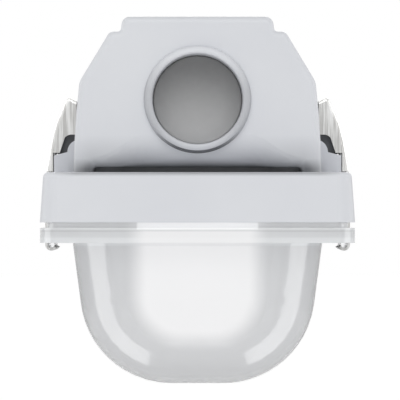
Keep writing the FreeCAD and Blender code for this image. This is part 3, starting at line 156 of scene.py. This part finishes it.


# Moulded clear polycarbonate: polished along its sides and satin at its ends, where the middle of the wall
# is milky and painted paler as light, the turned walls are painted greyer as shade, the edge of the flange
# is painted in bands of shade and light, and a painted glow fills the gap under the rim. Only the ends have
# a gloss skin, which mirrors the cards, and lamps shine through the whole cover.
def satin_end_polycarbonate():
    satin_from = 300 * MM
    satin_full = 312 * MM
    middle_half = 4 * MM
    middle_low = -78.3 * MM
    middle_full = 9.8 * MM
    middle_gone = 16.5 * MM
    flange_low = -64.5 * MM
    lip_low = -60.6 * MM
    gap_low = -60 * MM
    gap_high = -58.5 * MM
    strip_half = 16.6 * MM
    made, tree, shader = material(
        "clear_moulded_polycarbonate_with_satin_ends", IOR=1.58, Coat_Roughness=0.03, Coat_IOR=1.58)
    place = add(tree, "ShaderNodeTexCoord").outputs["Object"]
    spot = add(tree, "ShaderNodeSeparateXYZ", {"Vector": place})
    height = spot.outputs["Z"]
    along = add(tree, "ShaderNodeMath", {0: spot.outputs["Y"]}, operation="ABSOLUTE")
    satin = add(tree, "ShaderNodeMapRange", {
        "Value": along.outputs["Value"], "From Min": satin_from, "From Max": satin_full})
    tree.links.new(satin.outputs["Result"], shader.inputs["Coat Weight"])
    # The milky middle, painted pale as light, fades with the distance from an upright bar that ends above
    # the bottom of the wall.
    across = add(tree, "ShaderNodeMath", {0: spot.outputs["X"]}, operation="ABSOLUTE")
    beside = add(tree, "ShaderNodeMath", {0: across.outputs["Value"], 1: middle_half}, operation="SUBTRACT")
    below = add(tree, "ShaderNodeMath", {0: middle_low, 1: height}, operation="SUBTRACT")
    out_by = add(tree, "ShaderNodeCombineXYZ", {"X": beside.outputs["Value"], "Z": below.outputs["Value"]})
    outside = add(tree, "ShaderNodeVectorMath", {0: out_by.outputs["Vector"]}, operation="MAXIMUM")
    reach = add(tree, "ShaderNodeVectorMath", {0: outside.outputs["Vector"]}, operation="LENGTH")
    milky_and_painted_light = add(tree, "ShaderNodeMapRange", {
        "Value": reach.outputs["Value"], "From Min": middle_gone, "From Max": middle_full},
        interpolation_type="SMOOTHSTEP")
    # The dome is painted pale in its middle as light, and greyer on its turned walls as shade.
    dome_light_and_shade = add(tree, "ShaderNodeMix", {
        0: milky_and_painted_light.outputs["Result"], 6: linear("#dcdddf"), 7: linear("#fafafb")}, data_type="RGBA")
    # The flange's edge is painted in bands of shade and light by height; a pale veil over its middle is
    # painted light,
    # weaker above the lip, which leaves a painted shadow line there.
    climb = add(tree, "ShaderNodeMapRange", {"Value": height, "From Min": flange_low, "From Max": gap_high})
    flange_shade_bands = add(tree, "ShaderNodeValToRGB", {"Fac": climb.outputs["Result"]})
    tones(flange_shade_bands, (0.0, "#e4e6e8"), (0.06, "#e8eaec"), (0.34, "#e4e6e8"), (0.42, "#dadcde"),
          (0.62, "#dadcde"), (0.69, "#c8cacc"), (0.76, "#e0e2e4"), (0.95, "#f8f9fa"))
    off_lip = add(tree, "ShaderNodeMapRange", {
        "Value": height, "From Min": lip_low + 0.3 * MM, "From Max": lip_low, "To Min": 0.3, "To Max": 0.8})
    painted_light_veil = add(tree, "ShaderNodeMapRange", {
        "Value": milky_and_painted_light.outputs["Result"], "To Max": off_lip.outputs["Result"]})
    flange = add(tree, "ShaderNodeMix", {
        0: painted_light_veil.outputs["Result"], 6: flange_shade_bands.outputs["Color"], 7: linear("#f6f6f7")}, data_type="RGBA")
    high = add(tree, "ShaderNodeMapRange", {
        "Value": height, "From Min": flange_low - 0.3 * MM, "From Max": flange_low})
    wall = add(tree, "ShaderNodeMix", {
        0: high.outputs["Result"], 6: dome_light_and_shade.outputs[2], 7: flange.outputs[2]}, data_type="RGBA")
    body = add(tree, "ShaderNodeMix", {
        0: satin.outputs["Result"], 6: linear("#f7f8f9"), 7: wall.outputs[2]}, data_type="RGBA")
    tree.links.new(body.outputs[2], shader.inputs["Base Color"])
    end_clear = add(tree, "ShaderNodeMapRange", {
        "Value": milky_and_painted_light.outputs["Result"], "To Min": 0.15, "To Max": 0.0})
    clear = add(tree, "ShaderNodeMapRange", {
        "Value": satin.outputs["Result"], "To Min": 0.97, "To Max": end_clear.outputs["Result"]})
    tree.links.new(clear.outputs["Result"], shader.inputs["Transmission Weight"])
    # The satin is finer than a tenth of a millimetre, and drawn at 0.7 mm so that it shows.
    grain = add(tree, "ShaderNodeTexNoise", {"Vector": place, "Scale": per_metre(0.7), "Detail": 2.0})
    matt = add(tree, "ShaderNodeMapRange", {"Value": grain.outputs["Fac"], "To Min": 0.16, "To Max": 0.26})
    haze = add(tree, "ShaderNodeMapRange", {
        "Value": satin.outputs["Result"], "To Min": 0.04, "To Max": matt.outputs["Result"]})
    tree.links.new(haze.outputs["Result"], shader.inputs["Roughness"])
    # Painted light: the cover glows as a bright strip in the gap under the rim, standing in for the lit end
    # of the gear tray seen through the clear flange.
    in_gap = add(tree, "ShaderNodeMapRange", {
        "Value": height, "From Min": gap_low, "From Max": gap_low + 0.1 * MM, "To Max": 0.17})
    glow_strip = add(tree, "ShaderNodeMapRange", {
        "Value": across.outputs["Value"], "From Min": strip_half + 0.5 * MM, "From Max": strip_half,
        "To Max": in_gap.outputs["Result"]})
    painted_glow = add(tree, "ShaderNodeMapRange", {
        "Value": satin.outputs["Result"], "To Max": glow_strip.outputs["Result"]})
    tree.links.new(painted_glow.outputs["Result"], shader.inputs["Emission Strength"])
    path = add(tree, "ShaderNodeLightPath")
    through = add(tree, "ShaderNodeBsdfTransparent", {"Color": linear("#f2f3f4")})
    mix = add(tree, "ShaderNodeMixShader", {
        "Fac": path.outputs["Is Shadow Ray"], 1: shader.outputs["BSDF"], 2: through.outputs["BSDF"]})
    tree.links.new(mix.outputs["Shader"], tree.nodes["Material Output"].inputs["Surface"])
    return made


# Stainless spring steel from a cold rolled strip: bright, with fine rolling lines up and down the clip.
def rolled_stainless():
    made, tree, shader = material("rolled_stainless_steel", Metallic=1.0)
    place = add(tree, "ShaderNodeTexCoord").outputs["Object"]
    # Rolling lines are a few hundredths of a millimetre apart, drawn 0.6 mm apart so that they show.
    stretch = add(tree, "ShaderNodeMapping", {"Vector": place, "Scale": (1.0, 1.0, 0.05)})
    lines = add(tree, "ShaderNodeTexNoise", {
        "Vector": stretch.outputs["Vector"], "Scale": per_metre(0.6), "Detail": 3.0})
    ramp = add(tree, "ShaderNodeValToRGB", {"Fac": lines.outputs["Fac"]})
    tones(ramp, (0.36, "#c8c7c5"), (0.5, "#e0e0de"), (0.62, "#f2f2f1"))
    tree.links.new(ramp.outputs["Color"], shader.inputs["Base Color"])
    gloss = add(tree, "ShaderNodeMapRange", {"Value": lines.outputs["Fac"], "To Min": 0.24, "To Max": 0.42})
    tree.links.new(gloss.outputs["Result"], shader.inputs["Roughness"])
    relief = add(tree, "ShaderNodeBump", {
        "Height": lines.outputs["Fac"], "Strength": 0.25, "Distance": 0.05 * MM})
    tree.links.new(relief.outputs["Normal"], shader.inputs["Normal"])
    return made


# Rubber, moulded: dull, with a fine bloom on the skin that breaks its colour a little.
def moulded_rubber(name, dark, pale):
    made, tree, shader = material(name, IOR=1.52)
    place = add(tree, "ShaderNodeTexCoord").outputs["Object"]
    bloom = add(tree, "ShaderNodeTexNoise", {"Vector": place, "Scale": per_metre(1.5), "Detail": 4.0})
    ramp = add(tree, "ShaderNodeValToRGB", {"Fac": bloom.outputs["Fac"]})
    tones(ramp, (0.3, dark), (0.7, pale))
    tree.links.new(ramp.outputs["Color"], shader.inputs["Base Color"])
    dull = add(tree, "ShaderNodeMapRange", {"Value": bloom.outputs["Fac"], "To Min": 0.62, "To Max": 0.8})
    tree.links.new(dull.outputs["Result"], shader.inputs["Roughness"])
    relief = add(tree, "ShaderNodeBump", {
        "Height": bloom.outputs["Fac"], "Strength": 0.15, "Distance": 0.05 * MM})
    tree.links.new(relief.outputs["Normal"], shader.inputs["Normal"])
    return made


# Rubber of the cable plugs: moulded and dull, with painted shade darkening its upper part under the collar,
# paler towards its lower edge.
def plug_rubber_with_painted_shade():
    pale_from = -11.9 * MM
    pale_full = -34.1 * MM
    ragged = 2 * MM
    made, tree, shader = material("grey_moulded_rubber_with_painted_shade", IOR=1.52)
    place = add(tree, "ShaderNodeTexCoord").outputs["Object"]
    spot = add(tree, "ShaderNodeSeparateXYZ", {"Vector": place})
    bloom = add(tree, "ShaderNodeTexNoise", {"Vector": place, "Scale": per_metre(1.5), "Detail": 4.0})
    level = add(tree, "ShaderNodeMath", {
        0: bloom.outputs["Fac"], 1: ragged, 2: spot.outputs["Z"]}, operation="MULTIPLY_ADD")
    # Painted shade: darker towards the top, where the collar shades the plug, with a ragged edge.
    fall = add(tree, "ShaderNodeMapRange", {
        "Value": level.outputs["Value"], "From Min": pale_from, "From Max": pale_full})
    ramp = add(tree, "ShaderNodeValToRGB", {"Fac": fall.outputs["Result"]})
    tones(ramp, (0.0, "#888888"), (1.0, "#bfbfbf"))
    tree.links.new(ramp.outputs["Color"], shader.inputs["Base Color"])
    dull = add(tree, "ShaderNodeMapRange", {"Value": bloom.outputs["Fac"], "To Min": 0.62, "To Max": 0.8})
    tree.links.new(dull.outputs["Result"], shader.inputs["Roughness"])
    relief = add(tree, "ShaderNodeBump", {
        "Height": bloom.outputs["Fac"], "Strength": 0.15, "Distance": 0.05 * MM})
    tree.links.new(relief.outputs["Normal"], shader.inputs["Normal"])
    return made


# Polyurethane foam, poured in place: open cells show as pits in a dull skin.
def poured_foam():
    made, tree, shader = material("poured_polyurethane_foam", Roughness=0.9)
    place = add(tree, "ShaderNodeTexCoord").outputs["Object"]
    cells = add(tree, "ShaderNodeTexVoronoi", {"Vector": place, "Scale": per_metre(0.6)})
    ramp = add(tree, "ShaderNodeValToRGB", {"Fac": cells.outputs["Distance"]})
    tones(ramp, (0.0, "#b4b6b8"), (0.5, "#d9dbdc"))
    tree.links.new(ramp.outputs["Color"], shader.inputs["Base Color"])
    relief = add(tree, "ShaderNodeBump", {
        "Height": cells.outputs["Distance"], "Strength": 0.4, "Distance": 0.1 * MM})
    tree.links.new(relief.outputs["Normal"], shader.inputs["Normal"])
    return made


# Powder coat on sheet steel: white with a soft gloss and the orange peel of the melted powder.
def white_powder_coat():
    made, tree, shader = material("white_powder_coat", IOR=1.5)
    place = add(tree, "ShaderNodeTexCoord").outputs["Object"]
    peel = add(tree, "ShaderNodeTexNoise", {"Vector": place, "Scale": per_metre(1.8), "Detail": 1.0})
    ramp = add(tree, "ShaderNodeValToRGB", {"Fac": peel.outputs["Fac"]})
    tones(ramp, (0.3, "#efefee"), (0.7, "#f6f6f5"))
    tree.links.new(ramp.outputs["Color"], shader.inputs["Base Color"])
    gloss = add(tree, "ShaderNodeMapRange", {"Value": peel.outputs["Fac"], "To Min": 0.3, "To Max": 0.42})
    tree.links.new(gloss.outputs["Result"], shader.inputs["Roughness"])
    relief = add(tree, "ShaderNodeBump", {
        "Height": peel.outputs["Fac"], "Strength": 0.2, "Distance": 0.05 * MM})
    tree.links.new(relief.outputs["Normal"], shader.inputs["Normal"])
    return made


# Moulded plastic of the small fittings: a plain skin, faintly mottled, glossy or textured by its mould.
def fitting_plastic(name, dark, pale, roughness, grain_mm):
    made, tree, shader = material(name, IOR=1.53)
    place = add(tree, "ShaderNodeTexCoord").outputs["Object"]
    grain = add(tree, "ShaderNodeTexNoise", {"Vector": place, "Scale": per_metre(grain_mm), "Detail": 3.0})
    ramp = add(tree, "ShaderNodeValToRGB", {"Fac": grain.outputs["Fac"]})
    tones(ramp, (0.3, dark), (0.7, pale))
    tree.links.new(ramp.outputs["Color"], shader.inputs["Base Color"])
    gloss = add(tree, "ShaderNodeMapRange", {
        "Value": grain.outputs["Fac"], "To Min": roughness - 0.05, "To Max": roughness + 0.05})
    tree.links.new(gloss.outputs["Result"], shader.inputs["Roughness"])
    relief = add(tree, "ShaderNodeBump", {
        "Height": grain.outputs["Fac"], "Strength": 0.1, "Distance": 0.03 * MM})
    tree.links.new(relief.outputs["Normal"], shader.inputs["Normal"])
    return made


# Plated or plain metal of the small fasteners: bright, with a soft mottle from plating or turning.
def fastener_metal(name, dark, pale, roughness):
    made, tree, shader = material(name, Metallic=1.0)
    place = add(tree, "ShaderNodeTexCoord").outputs["Object"]
    mottle = add(tree, "ShaderNodeTexNoise", {"Vector": place, "Scale": per_metre(0.8), "Detail": 3.0})
    ramp = add(tree, "ShaderNodeValToRGB", {"Fac": mottle.outputs["Fac"]})
    tones(ramp, (0.3, dark), (0.7, pale))
    tree.links.new(ramp.outputs["Color"], shader.inputs["Base Color"])
    gloss = add(tree, "ShaderNodeMapRange", {
        "Value": mottle.outputs["Fac"], "To Min": roughness - 0.06, "To Max": roughness + 0.08})
    tree.links.new(gloss.outputs["Result"], shader.inputs["Roughness"])
    return made


# Phosphor in silicone, poured into the LED cups: yellow, with the grain of its powder under a soft gloss.
def phosphor_chip():
    made, tree, shader = material("phosphor_filled_silicone", IOR=1.41, Roughness=0.25)
    place = add(tree, "ShaderNodeTexCoord").outputs["Object"]
    powder = add(tree, "ShaderNodeTexNoise", {"Vector": place, "Scale": per_metre(0.3), "Detail": 3.0})
    ramp = add(tree, "ShaderNodeValToRGB", {"Fac": powder.outputs["Fac"]})
    tones(ramp, (0.3, "#e3c24c"), (0.7, "#efd675"))
    tree.links.new(ramp.outputs["Color"], shader.inputs["Base Color"])
    relief = add(tree, "ShaderNodeBump", {
        "Height": powder.outputs["Fac"], "Strength": 0.1, "Distance": 0.02 * MM})
    tree.links.new(relief.outputs["Normal"], shader.inputs["Normal"])
    return made


steel = rolled_stainless()
screw_zinc = fastener_metal("zinc_plated_steel", "#a9abae", "#c4c6c8", 0.3)
driver_skin = fitting_plastic("textured_flame_safe_polycarbonate", "#dedddb", "#e6e5e3", 0.55, 0.6)
terminal_skin = fitting_plastic("moulded_polyamide", "#dddcd8", "#e6e5e1", 0.4, 1.2)
button_skin = fitting_plastic("orange_moulded_polyamide", "#dc6a1c", "#e5792a", 0.35, 1.2)
plug_rubber = plug_rubber_with_painted_shade()
finishes = {
    "housing": satin_polycarbonate(),
    "cover": satin_end_polycarbonate(),
    "gasket": poured_foam(),
    "gear_tray": white_powder_coat(),
    "tray_screws": screw_zinc,
    "driver_screws": screw_zinc,
    "earth_screw": screw_zinc,
    "led_board": fitting_plastic("white_solder_mask", "#eeeeea", "#f4f4f1", 0.35, 1.0),
    "led_chips": phosphor_chip(),
    "board_rivets": fastener_metal("plain_aluminium", "#c3c4c6", "#d6d7d8", 0.35),
    "driver_case": driver_skin,
    "driver_lid": driver_skin,
    "terminal_block": terminal_skin,
    "board_connector": terminal_skin,
    "earth_tag": fastener_metal("tinned_brass", "#bdb9aa", "#cfcbbd", 0.32),
    "cable_plug_front": plug_rubber,
    "cable_plug_back": plug_rubber,
    "fixing_seals": moulded_rubber("black_moulded_rubber", "#1c1c1c", "#262626"),
    "wire_live": fitting_plastic("brown_wire_sheath", "#4a2c18", "#57351d", 0.45, 1.0),
    "wire_neutral": fitting_plastic("blue_wire_sheath", "#1d55a0", "#2560ad", 0.45, 1.0),
    "wire_earth": fitting_plastic("green_wire_sheath", "#5f9a2a", "#6ca733", 0.45, 1.0),
    "wire_led_plus": fitting_plastic("red_wire_sheath", "#a01a18", "#ad2320", 0.45, 1.0),
    "wire_led_minus": fitting_plastic("black_wire_sheath", "#161616", "#1f1f1f", 0.45, 1.0),
}
for name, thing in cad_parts.items():
    if name.startswith("clip_"):
        finish = steel
    elif name.startswith("button_"):
        finish = button_skin
    else:
        finish = finishes[name]
    thing.data.materials.clear()
    thing.data.materials.append(finish)


def start_piece(name, add_primitive, **size):
    """New piece from one primitive, alone in the selection and open for shaping, its place in its mesh."""
    bpy.ops.object.select_all(action="DESELECT")
    add_primitive(**size)
    piece = bpy.context.object
    piece.name = name
    bpy.ops.object.transform_apply(location=True, rotation=True, scale=True)
    bpy.ops.object.mode_set(mode="EDIT")
    return piece


def choose(piece, kind, wanted):
    """Only the faces or edges that pass a test are selected."""
    bpy.ops.mesh.select_mode(type=kind)
    bpy.ops.mesh.select_all(action="DESELECT")
    mesh = bmesh.from_edit_mesh(piece.data)
    for part in mesh.faces if kind == "FACE" else mesh.edges:
        if wanted(part):
            part.select_set(True)
    bmesh.update_edit_mesh(piece.data)


def upright(edge):
    """Whether an edge runs more up and down than across."""
    span = edge.verts[1].co - edge.verts[0].co
    return abs(span.z) > abs(span.x) + abs(span.y)


def middle_z(part):
    """Height of the middle of a face or an edge."""
    return sum(vert.co.z for vert in part.verts) / len(part.verts)


def push(rise, spread, around):
    """The chosen faces are drawn out up or down, and scaled about a point."""
    bpy.ops.mesh.extrude_region_move(TRANSFORM_OT_translate={"value": (0, 0, rise)})
    bpy.ops.transform.resize(value=(spread, spread, 1), center_override=around)


def finish_piece(piece, finish, copies=1, step=0.0, mirrored=False):
    """Copies across the middle and in a row along the light, then the finish and the body it rides on."""
    bpy.ops.mesh.select_all(action="SELECT")
    bpy.ops.mesh.normals_make_consistent(inside=False)
    bpy.ops.object.mode_set(mode="OBJECT")
    if mirrored:
        bpy.ops.object.modifier_add(type="MIRROR")
        bpy.ops.object.modifier_apply(modifier=piece.modifiers[0].name)
    if copies > 1:
        bpy.ops.object.modifier_add(type="ARRAY")
        row = piece.modifiers[0]
        row.count = copies
        row.use_relative_offset = False
        row.use_constant_offset = True
        row.constant_offset_displace = (0, step, 0)
        bpy.ops.object.modifier_apply(modifier=row.name)
    bpy.ops.object.shade_smooth_by_angle(angle=SMOOTH_BELOW)
    piece.data.materials.clear()
    piece.data.materials.append(finish)
    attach(piece, "light")
    return piece


# LED packages along the board: white cups with a pool of phosphor, soldered down at both ends.
chips_low, chips_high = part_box("led_chips")
chip_count = 40
chip_pitch = 13.5 * MM
chip_along = 2.8 * MM
chip_across = chips_high[0] - chips_low[0]
chip_deep = chips_high[2] - chips_low[2]
chip_first = chips_low[1] + chip_along / 2
cup_wall = 0.35 * MM
rim_edge = 0.08 * MM
# The hollow narrows to this share of its mouth, and the pool in it is a little smaller.
hollow_taper = 0.88
pool_fit = 0.87
pool_deep = 0.4 * MM
pool_fill = 0.28 * MM
pool_corner = 0.45 * MM
pool_crown = 0.06 * MM
crown_inset = 0.3 * MM
crown_taper = 0.7
solder_tall = 0.32 * MM
solder_out = 0.9 * MM
solder_corner = 0.3 * MM
solder_edge = 0.03 * MM
# Solder covers this share of the chip's width, and loses this share of its height at its outer edge.
solder_share = 0.75
solder_fall = 0.75


def led_cups():
    """White cups, open downwards, with a tapered hollow for the phosphor."""
    centre = (0, chip_first, (chips_low[2] + chips_high[2]) / 2)
    cups = start_piece("led_cups", bpy.ops.mesh.primitive_cube_add, size=1, location=centre,
                       scale=(chip_across, chip_along, chip_deep))
    choose(cups, "EDGE", lambda edge: max(vert.co.z for vert in edge.verts) < centre[2])
    bpy.ops.mesh.bevel(offset=rim_edge, segments=2)
    choose(cups, "FACE", lambda face: face.normal.z < -0.99)
    bpy.ops.mesh.inset(thickness=cup_wall - rim_edge)
    push(pool_deep, hollow_taper, centre)
    inner = (chip_across - cup_wall) / 2
    choose(cups, "EDGE", lambda edge: upright(edge) and abs(edge.verts[0].co.x) < inner)
    bpy.ops.mesh.bevel(offset=pool_corner, segments=3)
    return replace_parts(finish_piece(cups, cup_white, chip_count, chip_pitch), "led_chips")


def phosphor_pools():
    """Phosphor on the floor of each cup, with a low crown."""
    pool_top = chips_low[2] + pool_deep
    centre = (0, chip_first, pool_top - pool_fill / 2)
    pool_across = (chip_across - 2 * cup_wall) * pool_fit
    pool_along = (chip_along - 2 * cup_wall) * pool_fit
    pools = start_piece("phosphor_pools", bpy.ops.mesh.primitive_cube_add, size=1, location=centre,
                        scale=(pool_across, pool_along, pool_fill))
    choose(pools, "EDGE", upright)
    bpy.ops.mesh.bevel(offset=pool_corner, segments=3)
    choose(pools, "FACE", lambda face: face.normal.z < -0.9)
    bpy.ops.mesh.inset(thickness=crown_inset)
    push(-pool_crown, crown_taper, centre)
    return finish_piece(pools, finishes["led_chips"], chip_count, chip_pitch)


def solder_fillets():
    """Wedges of solder between the board and both ends of each chip."""
    board_face = chips_high[2]
    centre = (chip_across / 2 + solder_out / 2, chip_first, board_face - solder_tall / 2)
    fillets = start_piece("solder_fillets", bpy.ops.mesh.primitive_cube_add, size=1, location=centre,
                          scale=(solder_out, chip_along * solder_share, solder_tall))
    choose(fillets, "EDGE", lambda edge: middle_z(edge) < board_face - 0.9 * solder_tall
           and min(vert.co.x for vert in edge.verts) > chip_across / 2 + 0.9 * solder_out)
    bpy.ops.transform.translate(value=(0, 0, solder_fall * solder_tall))
    choose(fillets, "EDGE", lambda edge: upright(edge) and edge.verts[0].co.x > centre[0])
    bpy.ops.mesh.bevel(offset=solder_corner, segments=3)
    off_board = board_face - 0.05 * solder_tall
    choose(fillets, "EDGE", lambda edge: not upright(edge) and middle_z(edge) < off_board)
    bpy.ops.mesh.bevel(offset=solder_edge, segments=2)
    return finish_piece(fillets, solder_tin, chip_count, chip_pitch, mirrored=True)


# Blind rivets that hold the board to the tray: domed heads with the stub of a broken mandrel in the middle.
rivets_low, rivets_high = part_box("board_rivets")
rivet_head = 2.3 * MM
rivet_shank = 1.5 * MM
rivet_side = rivets_high[0] - rivet_head
rivet_outer = rivets_high[1] - rivet_head
rivet_inner = 105 * MM
tail_tall = 1.0 * MM
tail_taper = 0.9
head_round = 0.7 * MM
bore_inset = 0.5 * MM
bore_deep = 0.5 * MM
bore_taper = 0.95
stub_gap = 0.15 * MM
stub_tall = 0.25 * MM
stub_taper = 0.9
board_under = chips_high[2]
tray_top = rivets_high[2] - tail_tall
slack = 0.01 * MM


def blind_rivet(name, x, y):
    """One rivet: its head under the board, its shank, its tail on the tray and the stub in its bore."""
    head_tall = board_under - rivets_low[2]
    centre = (x, y, board_under - head_tall / 2)
    rivet = start_piece(name, bpy.ops.mesh.primitive_cylinder_add, vertices=32, radius=rivet_head,
                        depth=head_tall, location=centre)
    choose(rivet, "FACE", lambda face: face.normal.z > 0.9)
    bpy.ops.mesh.inset(thickness=rivet_head - rivet_shank)
    push(tray_top - board_under, 1.0, centre)
    push(0.0, rivet_head / rivet_shank, centre)
    push(rivets_high[2] - tray_top, tail_taper, centre)
    lowest = rivets_low[2] + slack
    choose(rivet, "EDGE", lambda edge: max(vert.co.z for vert in edge.verts) < lowest)
    bpy.ops.mesh.bevel(offset=head_round, segments=5)
    choose(rivet, "FACE", lambda face: face.normal.z < -0.99 and middle_z(face) < lowest)
    bpy.ops.mesh.inset(thickness=bore_inset)
    push(bore_deep, bore_taper, centre)
    bpy.ops.mesh.inset(thickness=stub_gap)
    push(-stub_tall, stub_taper, centre)
    return finish_piece(rivet, finishes["board_rivets"])


cup_white = fitting_plastic("white_moulded_polyphthalamide", "#efefec", "#f6f6f4", 0.45, 0.5)
solder_tin = fastener_metal("reflowed_solder", "#b9bbbd", "#cfd1d2", 0.3)
led_cups()
phosphor_pools()
solder_fillets()
blind_rivet("board_rivet_1", rivet_side, -rivet_outer)
blind_rivet("board_rivet_2", -rivet_side, -rivet_inner)
blind_rivet("board_rivet_3", rivet_side, rivet_inner)
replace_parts(blind_rivet("board_rivet_4", -rivet_side, rivet_outer), "board_rivets")

# Studio, in metres: a pale floor well below the hanging light, white all round, and soft lamps.
floor_size = 60
floor_level = -0.75
bpy.ops.object.select_all(action="DESELECT")
bpy.ops.mesh.primitive_plane_add(size=floor_size, location=(0, 0, floor_level))
floor = bpy.context.object
floor.name = "studio_floor"


# Studio paper: matt and nearly white to the eye, with the shadow kept, and open when seen from below.
def studio_paper():
    made, tree, shader = material("matt_studio_paper", Roughness=0.9)
    shader.inputs["Base Color"].default_value = linear("#f2f2f2")
    shader.inputs["Emission Color"].default_value = linear("#ffffff")
    path = add(tree, "ShaderNodeLightPath")
    lift = add(tree, "ShaderNodeMapRange", {"Value": path.outputs["Is Camera Ray"], "To Max": 0.53})
    tree.links.new(lift.outputs["Result"], shader.inputs["Emission Strength"])
    under = add(tree, "ShaderNodeNewGeometry").outputs["Backfacing"]
    open_side = add(tree, "ShaderNodeBsdfTransparent")
    mix = add(tree, "ShaderNodeMixShader", {
        "Fac": under, 1: shader.outputs["BSDF"], 2: open_side.outputs["BSDF"]})
    tree.links.new(mix.outputs["Shader"], tree.nodes["Material Output"].inputs["Surface"])
    return made


floor.data.materials.append(studio_paper())

world = bpy.data.worlds.new("white_studio")
bpy.context.scene.world = world
world.use_nodes = True
tree = world.node_tree
light = tree.nodes["Background"]
light.inputs["Color"].default_value = linear("#ffffff")
path = add(tree, "ShaderNodeLightPath")
looked_at = add(tree, "ShaderNodeMath", {
    0: path.outputs["Is Camera Ray"], 1: path.outputs["Is Transmission Ray"]}, operation="MAXIMUM")
seen = add(tree, "ShaderNodeMath", {
    0: looked_at.outputs["Value"], 1: path.outputs["Is Glossy Ray"]}, operation="MAXIMUM")
level = add(tree, "ShaderNodeMapRange", {"Value": seen.outputs["Value"], "To Min": 0.5, "To Max": 1.0})
tree.links.new(level.outputs["Result"], light.inputs["Strength"])


def lamp(name, spot, aim, width, height, watts):
    """Soft box at a spot, turned to what it aims at, that doesn't show through the clear cover."""
    data = bpy.data.lights.new(name, "AREA")
    data.shape = "RECTANGLE"
    data.size = width
    data.size_y = height
    data.energy = watts
    thing = bpy.data.objects.new(name, data)
    bpy.context.scene.collection.objects.link(thing)
    thing.location = spot
    thing.rotation_euler = (Vector(aim) - Vector(spot)).to_track_quat("-Z", "Y").to_euler()
    thing.visible_transmission = False
    return thing


lamp("key_over_camera", (0, -2.0, 1.3), (0, -0.3, -0.05), width=1.8, height=1.2, watts=12.8)
fill = lamp("fill_under_camera", (0, -2.2, -0.35), (0, -0.3, -0.07), width=1.6, height=0.6, watts=6.5)
fill.visible_glossy = False
for side, hand in ((-1, "left"), (1, "right")):
    lamp("side_" + hand, (side * 2.2, 0.35, 0.5), (0, 0.1, -0.06), width=1.6, height=1.0, watts=9)
lamp("back_over_far_end", (0, 2.3, 0.9), (0, 0.3, -0.05), width=1.6, height=1.0, watts=9)

# Cards in an arc on each side, which show only as a bright streak along the gloss of the cover's end.
card_reach = 0.5
card_step = 30
card_raised = 2
card_wide = 0.45
card_tall = 2 * card_reach * math.tan(math.radians(card_step / 2))
card_watts = 0.53
card_more_watts = 0.05
card_y = -0.55
dome_z = -0.08
card_lit = bpy.data.collections.new("lit_by_cards")
card_lit.objects.link(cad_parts["cover"])
for side, hand in ((-1, "left"), (1, "right")):
    for place in range(3):
        sunk = math.radians(card_step * place - card_raised)
        spot = (side * card_reach * math.cos(sunk), card_y, dome_z - card_reach * math.sin(sunk))
        card = lamp("card_%s_%d" % (hand, place), spot, (0, card_y, dome_z), width=card_wide,
                    height=card_tall, watts=card_watts + card_more_watts * place)
        card.visible_diffuse = False
        card.light_linking.receiver_collection = card_lit

# Camera in front of the near end, level with the middle of the light and a hair to its right.
eye_side = 0.7 * MM
eye_level = -51.75 * MM
eye_back = -1.28
view = bpy.data.cameras.new("photo_view")
view.sensor_width = 36
view.lens = 308
eye = bpy.data.objects.new("photo_view", view)
bpy.context.scene.collection.objects.link(eye)
eye.location = (eye_side, eye_back, eye_level)
eye.rotation_euler = (math.radians(90), 0, 0)
bpy.context.scene.camera = eye
bpy.context.scene.view_settings.view_transform = "Standard"
